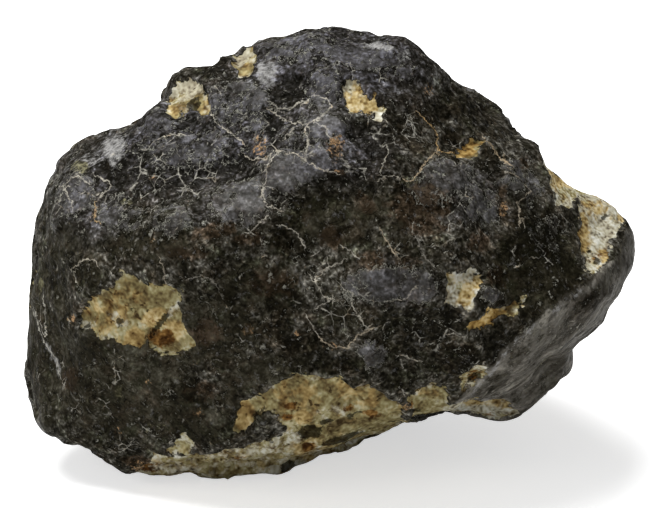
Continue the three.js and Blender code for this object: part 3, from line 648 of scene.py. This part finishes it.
class Web:
    """Adds nodes to a node tree and joins them."""

    def __init__(self, tree):
        self.tree = tree

    def node(self, kind, **settings):
        made = self.tree.nodes.new(kind)
        for name, value in settings.items():
            setattr(made, name, value)
        return made

    def feed(self, socket, value):
        if isinstance(value, bpy.types.NodeSocket):
            self.tree.links.new(value, socket)
        elif value is not None:
            socket.default_value = value

    def math(self, operation, *values):
        made = self.node("ShaderNodeMath", operation=operation)
        for socket, value in zip(made.inputs, values):
            self.feed(socket, value)
        return made.outputs[0]

    def times(self, first, second):
        return self.math("MULTIPLY", first, second)

    def more(self, value, share, base):
        """The base with a share of the value added to it."""
        return self.math("MULTIPLY_ADD", value, share, base)

    def between(self, value, low, high, to_low=0.0, to_high=1.0):
        made = self.node("ShaderNodeMapRange", interpolation_type="SMOOTHSTEP")
        for socket, item in zip(made.inputs, (value, low, high, to_low, to_high)):
            self.feed(socket, item)
        return made.outputs[0]

    def mix(self, share, first, second, blend="MIX"):
        made = self.node("ShaderNodeMix", data_type="RGBA", blend_type=blend)
        self.feed(made.inputs[0], share)
        self.feed(made.inputs[6], first)
        self.feed(made.inputs[7], second)
        return made.outputs[2]

    def attribute(self, name):
        return self.node("ShaderNodeAttribute", attribute_name=name).outputs["Fac"]

    def noise(self, place, size, detail=3.0, rough=0.5, shift=0.0, colour=False):
        moved = self.node("ShaderNodeMapping")
        self.feed(moved.inputs["Vector"], place)
        moved.inputs["Location"].default_value = (shift * 17, shift * -29, shift * 41)
        moved.inputs["Rotation"].default_value = (0.6, 0.5, 0.9)
        made = self.node("ShaderNodeTexNoise", noise_dimensions="3D")
        self.feed(made.inputs["Vector"], moved.outputs[0])
        self.feed(made.inputs["Scale"], 1 / size)
        self.feed(made.inputs["Detail"], detail)
        self.feed(made.inputs["Roughness"], rough)
        return made.outputs["Color" if colour else "Fac"]

    def uneven(self, place, size, detail, rough, shift):
        """Noise about zero, from -0.5 to 0.5."""
        return self.math("SUBTRACT", self.noise(place, size, detail, rough, shift), 0.5)

    def ramp(self, value, *stops):
        """A colour by value. Each stop is its value and its red, green and blue."""
        made = self.node("ShaderNodeValToRGB")
        self.feed(made.inputs[0], value)
        marks = made.color_ramp.elements
        while len(marks) < len(stops):
            marks.new(1.0)
        for mark, (at, colour) in zip(marks, stops):
            mark.position = at
            mark.color = (*colour, 1)
        return made.outputs["Color"]

    def excess(self, amount, place, size, shift):
        """Noise that is above zero on about this share of the surface."""
        field = self.between(self.noise(place, size, 4.0, 0.68, shift), 0.28, 0.72)
        return self.math("SUBTRACT", self.more(amount, 1.2, -0.1), field)

    def torn(self, amount, place, size, shift, edge=0.1):
        """A mask with torn edges that covers about this share of the surface."""
        return self.between(self.excess(amount, place, size, shift), -edge, edge)

    def kept(self, place, share, size, rough, shift, edge):
        """A mask of the places where a net of lines is kept, more of them as the share grows."""
        keep = self.noise(place, size, 3.0, rough, shift)
        low = self.math("SUBTRACT", 0.72, self.times(share, 0.42))
        return self.between(keep, low, self.math("ADD", low, edge))

    def bent(self, place, size, reach, shift=0.0):
        """The place moved about by noise, so that straight things wander."""
        colour = self.noise(place, size, 3.0, 0.6, shift, colour=True)
        centred = self.node("ShaderNodeVectorMath", operation="SUBTRACT")
        self.feed(centred.inputs[0], colour)
        centred.inputs[1].default_value = (0.5, 0.5, 0.5)
        moved = self.node("ShaderNodeVectorMath", operation="MULTIPLY_ADD")
        self.feed(moved.inputs[0], centred.outputs[0])
        self.feed(moved.inputs[1], reach)
        self.feed(moved.inputs[2], place)
        return moved.outputs[0]


def new_group(name, inputs, outputs):
    """An empty shader node group. Inputs and outputs are (name, kind) pairs."""
    tree = bpy.data.node_groups.new(name, "ShaderNodeTree")
    for label, kind in inputs:
        tree.interface.new_socket(label, in_out="INPUT", socket_type="NodeSocket" + kind)
    for label, kind in outputs:
        tree.interface.new_socket(label, in_out="OUTPUT", socket_type="NodeSocket" + kind)
    given = tree.nodes.new("NodeGroupInput").outputs
    out = tree.nodes.new("NodeGroupOutput").inputs
    return tree, Web(tree), given, out


def hairline_group():
    """Shrinkage cracks: a wandering net of one cell size, kept only here and there."""
    tree, web, given, out = new_group(
        "hairline cracks",
        [("Place", "Vector"), ("Cell", "Float"), ("Width", "Float"), ("Kept", "Float")],
        [("Line", "Float")])
    wandering = web.bent(given["Place"], 2.6, web.times(given["Cell"], 0.42))
    wandering = web.bent(wandering, 0.7, web.times(given["Cell"], 0.11), 3.0)
    scaled = web.node("ShaderNodeVectorMath", operation="SCALE")
    web.feed(scaled.inputs[0], wandering)
    web.feed(scaled.inputs["Scale"], web.math("DIVIDE", 1.0, given["Cell"]))
    edge = web.node("ShaderNodeTexVoronoi", feature="DISTANCE_TO_EDGE")
    web.feed(edge.inputs["Vector"], scaled.outputs[0])
    edge.inputs["Scale"].default_value = 1.0
    distance = web.times(edge.outputs["Distance"], given["Cell"])
    thick = web.between(web.noise(given["Place"], 1.4, 1.0, 0.6, 4.0), 0.3, 0.7, 0.45, 1.5)
    line = web.between(distance, web.times(given["Width"], thick), 0.0)
    kept = web.kept(given["Place"], given["Kept"], 3.4, 0.6, 5.0, 0.1)
    web.feed(out["Line"], web.times(line, kept))
    return tree


def curl_group():
    """Short pale curls: thin contours of noise, kept only here and there."""
    tree, web, given, out = new_group(
        "flaky curls", [("Place", "Vector"), ("Size", "Float"), ("Kept", "Float")], [("Curl", "Float")])
    made = web.node("ShaderNodeTexNoise", noise_dimensions="3D")
    web.feed(made.inputs["Vector"], given["Place"])
    web.feed(made.inputs["Scale"], web.math("DIVIDE", 1.0, given["Size"]))
    made.inputs["Detail"].default_value = 1.0
    made.inputs["Roughness"].default_value = 0.65
    contour = web.math("ABSOLUTE", web.math("SUBTRACT", made.outputs["Fac"], 0.5))
    line = web.between(contour, 0.035, 0.004)
    kept = web.kept(given["Place"], given["Kept"], 1.1, 0.75, 8.0, 0.12)
    web.feed(out["Curl"], web.times(line, kept))
    return tree


def placed(web, tree, **values):
    """A group placed in a material with its own values."""
    made = web.node("ShaderNodeGroup", node_tree=tree)
    for name, value in values.items():
        web.feed(made.inputs[name], value)
    return made.outputs


def crust_masks(web, place, zones):
    """Where the crust is a smooth plate, smoky, sooty, glazed or reddish, and the plates' rims."""
    amounts = {
        "smoke": (0.05, 1.5, 3.0, 0.3),
        "soot": (0.10, 1.9, 9.0, 0.16),
        "glaze": (0.05, 2.8, 4.0, 0.3),
        "ruddy": (0.02, 1.8, 19.0, 0.45),
        "painted_highlight": (0.0, 1.2, 6.0, 0.35),
        "mossy": (0.0, 1.0, 38.0, 0.3),
    }
    masks = {kind: web.torn(web.more(zones[kind], 0.95, least), place, size, shift, edge)
             for kind, (least, size, shift, edge) in amounts.items()}
    excess = web.excess(web.more(zones["plate"], 0.9, 0.05), place, 2.0, 2.0)
    masks["plate"] = web.between(excess, -0.09, 0.12)
    away = web.math("ABSOLUTE", web.math("ADD", excess, 0.04))
    masks["rim"] = web.between(away, 0.07, 0.01)
    masks["near rim"] = web.between(away, 0.45, 0.1)
    masks["gap"] = web.times(web.between(excess, -0.5, -0.2), web.between(excess, -0.03, -0.12))
    return masks


def crust_tone(web, place, masks, flank):
    """How light the crust is, 0 for soot and 1 for ash, with flecks that are partly painted glints and a
    painted sheen on the right end's underside. Each step of 0.2 more than doubles it.
    """
    level = web.more(masks["plate"], 0.13, 0.42)
    level = web.more(masks["smoke"], 0.12, level)
    level = web.more(masks["soot"], -0.22, level)
    level = web.more(masks["glaze"], -0.035, level)
    level = web.more(masks["gap"], -0.17, level)
    swathes = web.uneven(place, 5.5, 1.0, 0.6, 39.0)
    level = web.more(swathes, 0.5, level)
    # Painted reflection: the right end's underside is lifted to a soft grey sheen, as of the pale floor.
    level = web.more(flank, 0.24, level)
    spread = web.more(masks["plate"], -0.42, 1.0)
    spread = web.more(masks["glaze"], -0.55, spread)
    spread = web.more(masks["ruddy"], -0.15, spread)
    spread = web.more(flank, -0.82, spread)
    spread = web.math("MAXIMUM", spread, 0.18)
    specks = web.uneven(place, 0.8, 1.0, 0.8, 6.0)
    blotches = web.uneven(place, 2.0, 1.5, 0.7, 28.0)
    # Pale flecks: partly painted glints of light, partly pale specks of the crust.
    flecks_and_glints = web.between(web.noise(place, 0.55, 0.0, 0.5, 33.0), 0.62, 0.70)
    varied = web.more(specks, 1.4, blotches)
    varied = web.more(flecks_and_glints, 0.17, varied)
    return web.more(varied, spread, level)


def crust_colour(web, place, tone, masks, marks):
    """Fused crust by its tone, tinted olive or reddish, with violet and grey painted sheens, ash, painted
    highlights, rust and cracks.
    """
    grey = web.ramp(tone, (0.0, (0.0052, 0.0046, 0.0024)), (0.2, (0.0128, 0.0115, 0.0072)),
                    (0.4, (0.0285, 0.026, 0.0188)), (0.6, (0.065, 0.062, 0.051)),
                    (0.8, (0.150, 0.146, 0.128)), (1.0, (0.345, 0.34, 0.30)))
    tint = web.mix(masks["glaze"], (0.80, 0.78, 0.76, 1), (0.81, 0.79, 0.68, 1))
    tint = web.mix(web.torn(0.3, place, 4.0, 42.0, 0.3), tint, (0.88, 0.76, 0.64, 1))
    tint = web.mix(web.torn(0.2, place, 3.5, 44.0, 0.3), tint, (0.76, 0.82, 0.62, 1))
    # Painted sheen: violet-grey where the overhead light is reflected, over the plates' own violet cast.
    tint = web.mix(marks["violet_sheen"], tint, (0.75, 0.755, 0.97, 1))
    tint = web.mix(masks["ruddy"], tint, (0.98, 0.74, 0.59, 1))
    # Painted reflection: the grey sheen on the right end's underside.
    tint = web.mix(web.times(marks["flank"], 0.8), tint, (0.80, 0.76, 0.74, 1))
    colour = web.mix(1.0, grey, tint, "MULTIPLY")

    tint = web.mix(marks["stained"], (0.26, 0.255, 0.215, 1), (0.42, 0.30, 0.15, 1))
    colour = web.mix(marks["curl"], colour, tint)
    # Painted highlights: pale glints and lines of light on the crust.
    colour = web.mix(web.times(masks["painted_highlight"], marks["painted_highlight"]), colour, (0.30, 0.295, 0.285, 1))
    rusted = web.times(marks["stained"], web.between(tone, 0.3, 0.6, 0.05, 0.85))
    colour = web.mix(rusted, colour, (0.36, 0.22, 0.11, 1))
    mossy = web.times(masks["mossy"], web.between(tone, 0.25, 0.6, 0.1, 0.65))
    colour = web.mix(mossy, colour, (0.23, 0.215, 0.115, 1))
    tint = web.mix(marks["rusty"], (0.44, 0.42, 0.36, 1), (0.44, 0.28, 0.11, 1))
    return web.mix(marks["line"], colour, tint)


def rock_tone(web, place, rock_shade):
    """How light the broken rock's grains are, about 0.2 to 0.8, with lumps, grains and pits, darker and
    more even where shade is painted.
    """
    grains = web.uneven(place, 1.2, 1.5, 0.7, 11.0)
    clumps = web.uneven(place, 3.0, 1.0, 0.6, 36.0)
    fine = web.uneven(place, 0.5, 0.0, 0.5, 40.0)
    white = web.attribute("broken_white")
    varied = web.more(clumps, 0.78, web.times(grains, 0.65))
    most = web.more(white, 0.5, 0.3)
    varied = web.more(fine, most, varied)
    pits = web.between(web.noise(place, 1.0, 1.0, 0.6, 14.0), 0.37, 0.27)
    varied = web.more(pits, -0.2, varied)
    # Painted shade makes the rock darker and more even.
    spread = web.more(rock_shade, -0.5, 1.0)
    level = web.more(white, 0.10, web.more(rock_shade, -0.12, 0.5))
    return web.more(varied, spread, level)


def rock_colour(web, place, tone, zones):
    """Broken rock inside the crust: sage and pale grains, honey, rust blots and dark clasts, with painted
    light at patch edges and low in the bottom break, and painted shadow in holes and under ledges.
    """
    rock = web.ramp(tone, (0.22, (0.040, 0.026, 0.011)), (0.38, (0.120, 0.090, 0.039)),
                    (0.5, (0.200, 0.165, 0.074)), (0.62, (0.29, 0.258, 0.134)),
                    (0.78, (0.42, 0.395, 0.27)))
    golden = web.ramp(tone, (0.22, (0.06, 0.034, 0.012)), (0.38, (0.18, 0.122, 0.048)),
                      (0.5, (0.29, 0.215, 0.090)), (0.62, (0.42, 0.335, 0.165)),
                      (0.78, (0.55, 0.48, 0.31)))
    chalky = web.ramp(tone, (0.22, (0.06, 0.048, 0.032)), (0.36, (0.24, 0.212, 0.15)),
                      (0.5, (0.38, 0.355, 0.26)), (0.62, (0.48, 0.465, 0.38)),
                      (0.78, (0.60, 0.595, 0.53)))
    rusty = web.ramp(tone, (0.22, (0.030, 0.013, 0.004)), (0.38, (0.060, 0.027, 0.008)),
                     (0.5, (0.110, 0.053, 0.014)), (0.62, (0.21, 0.112, 0.032)),
                     (0.78, (0.36, 0.23, 0.09)))
    # Painted highlight: paler rock just inside a patch's edge, where the edge catches the light.
    rim = web.between(web.attribute("broken"), 1.4, 0.2, 0.0, 0.2)
    amount = web.more(zones["chalk_and_painted_light"], 0.8, rim)
    amount = web.more(web.attribute("broken_white"), 0.45, amount)
    colour = web.mix(web.torn(amount, place, 1.8, 12.0, 0.25), rock, chalky)
    amount = web.more(zones["honey"], 0.85, 0.12)
    amount = web.more(web.attribute("broken_rust"), 0.15, amount)
    amber = web.mix(web.attribute("broken_rust"), golden, (1.0, 0.86, 0.64, 1), "MULTIPLY")
    colour = web.mix(web.torn(amount, place, 2.4, 15.0, 0.3), colour, amber)
    blots = web.torn(web.more(zones["rust"], 0.85, 0.06), place, 1.2, 13.0, 0.3)
    colour = web.mix(blots, colour, rusty)
    # Dark clasts, and painted shadow in holes and under ledges.
    clasts_and_shadow = web.torn(web.more(zones["clast_and_shadow"], 0.9, 0.02), place, 1.2, 16.0, 0.2)
    return web.mix(web.times(clasts_and_shadow, 0.92), colour, (0.10, 0.10, 0.095, 1), "MULTIPLY")


def stone_material():
    """The whole stone: crust, cracks, broken rock and their relief on one surface."""
    material = bpy.data.materials.new("fused and broken stone")
    material.use_nodes = True
    tree = material.node_tree
    tree.nodes.clear()
    web = Web(tree)
    place = web.node("ShaderNodeAttribute", attribute_name="worked_from").outputs["Vector"]
    grain_place = web.node("ShaderNodeAttribute", attribute_name="grain_from").outputs["Vector"]
    hairlines = hairline_group()
    curls = curl_group()
    zones = {kind: web.attribute(kind) for kind in ZONES}

    masks = crust_masks(web, place, zones)
    edge = web.between(web.noise(place, 1.6, 3.0, 0.6, 26.0), 0.2, 0.8, -0.5, 0.5)
    # The right end's underside, where a grey sheen is painted.
    flank = web.between(web.math("ADD", web.attribute("drawn_out_and_sheen"), edge), -0.15, 0.35)
    turned = web.node("ShaderNodeMapping", vector_type="TEXTURE")
    web.feed(turned.inputs["Vector"], place)
    turned.inputs["Rotation"].default_value = (0, math.radians(-42), math.radians(25))
    turned.inputs["Scale"].default_value = (8, 1, 1)
    streaks = web.uneven(turned.outputs[0], 1.9, 2.0, 0.6, 18.0)
    tone = crust_tone(web, place, masks, flank)
    tone = web.more(web.times(streaks, flank), 0.9, tone)
    beside = web.between(web.math("ADD", web.attribute("broken"), edge), -1.3, 0.1)
    tone = web.more(beside, 0.12, tone)

    coarse = placed(web, hairlines, Place=place, Cell=5.0, Width=0.14, Kept=0.35)
    kept = web.more(zones["crackled"], 0.5, 0.2)
    middling = placed(web, hairlines, Place=place, Cell=2.6, Width=0.12, Kept=kept)
    close = placed(web, hairlines, Place=place, Cell=1.5, Width=0.10, Kept=0.55)
    dark = web.times(close["Line"], web.more(flank, -0.9, 1.0))
    tone = web.more(dark, -0.28, tone)
    wander = web.between(web.noise(place, 0.9, 3.0, 0.65, 21.0), 0.0, 1.0, -0.5, 0.5)
    drawn = web.math("ABSOLUTE", web.math("ADD", web.attribute("crack_offset"), wander))
    thick = web.between(web.noise(place, 0.7, 1.0, 0.6, 24.0), 0.3, 0.7, 0.11, 0.25)
    drawn = web.times(web.between(drawn, thick, 0.0),
                     web.between(web.attribute("crack_near"), 0.3, 0.8))
    fainter = web.between(web.noise(place, 1.5, 2.0, 0.6, 25.0), 0.35, 0.65, 0.4, 1.0)
    line = web.times(web.math("MAXIMUM", coarse["Line"], middling["Line"]), 0.7)
    line = web.times(web.math("MAXIMUM", line, drawn), fainter)
    curl_kept = web.more(zones["crackled"], 0.2, 0.25)
    curl_kept = web.more(masks["near rim"], 0.25, curl_kept)
    curl = placed(web, curls, Place=place, Size=0.8, Kept=curl_kept)["Curl"]
    rim_kept = web.between(web.noise(place, 1.6, 3.0, 0.7, 34.0), 0.42, 0.56)
    curl = web.math("MAXIMUM", curl, web.times(masks["rim"], rim_kept))
    curl_most = web.more(masks["glaze"], -0.4, 0.9)

    marks = {
        "line": line,
        "curl": web.times(curl, curl_most),
        # The pale texture of the painted highlights.
        "painted_highlight": web.between(web.noise(place, 0.7, 2.0, 0.7, 23.0), 0.3, 0.65, 0.25, 0.9),
        # The right end's underside with its painted grey sheen.
        "flank": flank,
        # The violet painted sheen, and the plates' own violet cast.
        "violet_sheen": web.math("MAXIMUM", zones["violet_sheen"], web.times(masks["plate"], 0.6)),
        "stained": web.torn(web.times(zones["rust"], 0.75), place, 0.6, 7.0, 0.2),
        "rusty": web.math("MAXIMUM", web.torn(0.12, place, 1.8, 20.0, 0.3),
                          web.times(web.attribute("crack_rust"), web.attribute("crack_near"))),
    }

    rim = web.between(web.noise(grain_place, 1.3, 2.5, 0.55, 22.0), 0.2, 0.8, -0.6, 0.6)
    ragged = web.math("ADD", web.attribute("broken"), rim)
    rock = web.between(ragged, -0.12, 0.12)
    grains = rock_tone(web, grain_place, zones["rock_shade"])
    broken_colour = rock_colour(web, grain_place, grains, zones)
    colour = web.mix(rock, crust_colour(web, place, tone, masks, marks), broken_colour)

    crust_height = web.more(tone, 0.22, web.times(masks["plate"], 0.10))
    crust_height = web.more(web.noise(place, 1.5, 2.0, 0.6, 31.0), 0.5, crust_height)
    rock_height = web.more(grains, 0.22, -0.25)
    height = web.node("ShaderNodeMix", data_type="FLOAT")
    web.feed(height.inputs[0], rock)
    web.feed(height.inputs[2], crust_height)
    web.feed(height.inputs[3], rock_height)
    bump = web.node("ShaderNodeBump")
    bump.inputs["Strength"].default_value = 1.0
    bump.inputs["Distance"].default_value = MM
    web.feed(bump.inputs["Height"], height.outputs[0])

    glossy = web.between(tone, 0.3, 0.7, 0.6, 0.42)
    roughness = web.math("ADD", glossy, web.times(rock, 0.3))
    coat = web.times(masks["plate"], web.math("SUBTRACT", 1.0, masks["soot"]))
    coat = web.times(coat, web.math("SUBTRACT", 1.0, rock))

    surface = web.node("ShaderNodeBsdfPrincipled")
    surface.inputs["Specular IOR Level"].default_value = 0.02
    surface.inputs["Coat Roughness"].default_value = 0.32
    web.feed(surface.inputs["Base Color"], colour)
    web.feed(surface.inputs["Roughness"], roughness)
    web.feed(surface.inputs["Coat Weight"], web.times(coat, 0.12))
    web.feed(surface.inputs["Normal"], bump.outputs[0])
    output = web.node("ShaderNodeOutputMaterial")
    web.feed(output.inputs["Surface"], surface.outputs[0])
    return material


def add_object(name, data):
    """A new object in the scene that holds a mesh, a camera or a light."""
    made = bpy.data.objects.new(name, data)
    bpy.context.scene.collection.objects.link(made)
    return made


def make_stone():
    """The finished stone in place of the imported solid."""
    mesh = rough_stone(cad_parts["meteorite"])
    weather(mesh)
    mesh.shade_smooth()
    stone = add_object("meteorite_stone", mesh)
    mesh.materials.append(stone_material())
    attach(stone, "root")
    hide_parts("meteorite")


def make_camera():
    """A long lens from the front, a little above the stone."""
    towards = eye_axes(FRONT)[2]
    lens = bpy.data.cameras.new("camera")
    lens.sensor_width = SENSOR
    lens.lens = LENS
    lens.clip_start = 0.01
    camera = add_object("camera", lens)
    camera.location = (MIDDLE + towards * EYE_DISTANCE) * MM
    camera.rotation_mode = "QUATERNION"
    camera.rotation_quaternion = (-towards).to_track_quat("-Z", "Y")
    bpy.context.scene.camera = camera


def soft_light(name, place, size, power, colour=(1, 1, 1)):
    """A square soft box that points at the stone. Its place and size are in millimetres."""
    panel = bpy.data.lights.new(name, "AREA")
    panel.size = size * MM
    panel.energy = power
    panel.color = colour
    light = add_object(name, panel)
    light.location = Vector(place) * MM
    light.rotation_mode = "QUATERNION"
    light.rotation_quaternion = (MIDDLE - Vector(place)).to_track_quat("-Z", "Y")


def make_studio():
    """A plain near-white floor and room with soft light from above."""
    work = bmesh.new()
    bmesh.ops.create_circle(work, cap_ends=True, segments=96, radius=FLOOR_RADIUS)
    mesh = bpy.data.meshes.new("floor")
    work.to_mesh(mesh)
    work.free()
    floor = add_object("floor", mesh)
    material = bpy.data.materials.new("pale floor")
    material.use_nodes = True
    web = Web(material.node_tree)
    shader = material.node_tree.nodes["Principled BSDF"]
    shader.inputs["Base Color"].default_value = (0.9, 0.9, 0.9, 1)
    shader.inputs["Roughness"].default_value = 0.9
    shader.inputs["Specular IOR Level"].default_value = 0.1
    shader.inputs["Emission Color"].default_value = (1, 1, 1, 1)
    looked_at = web.node("ShaderNodeLightPath").outputs["Is Camera Ray"]
    web.feed(shader.inputs["Emission Strength"], web.times(looked_at, 0.6))
    mesh.materials.append(material)

    world = bpy.data.worlds.new("pale room")
    world.use_nodes = True
    world.node_tree.nodes["Background"].inputs["Color"].default_value = (1, 1, 1, 1)
    world.node_tree.nodes["Background"].inputs["Strength"].default_value = 0.25
    bpy.context.scene.world = world
    bpy.context.scene.view_settings.view_transform = "Standard"

    soft_light("overhead", (-160, 30, 650), 420, 6.5)
    soft_light("left front", (-500, -400, 350), 350, 0.8)


make_camera()
make_stone()
make_studio()
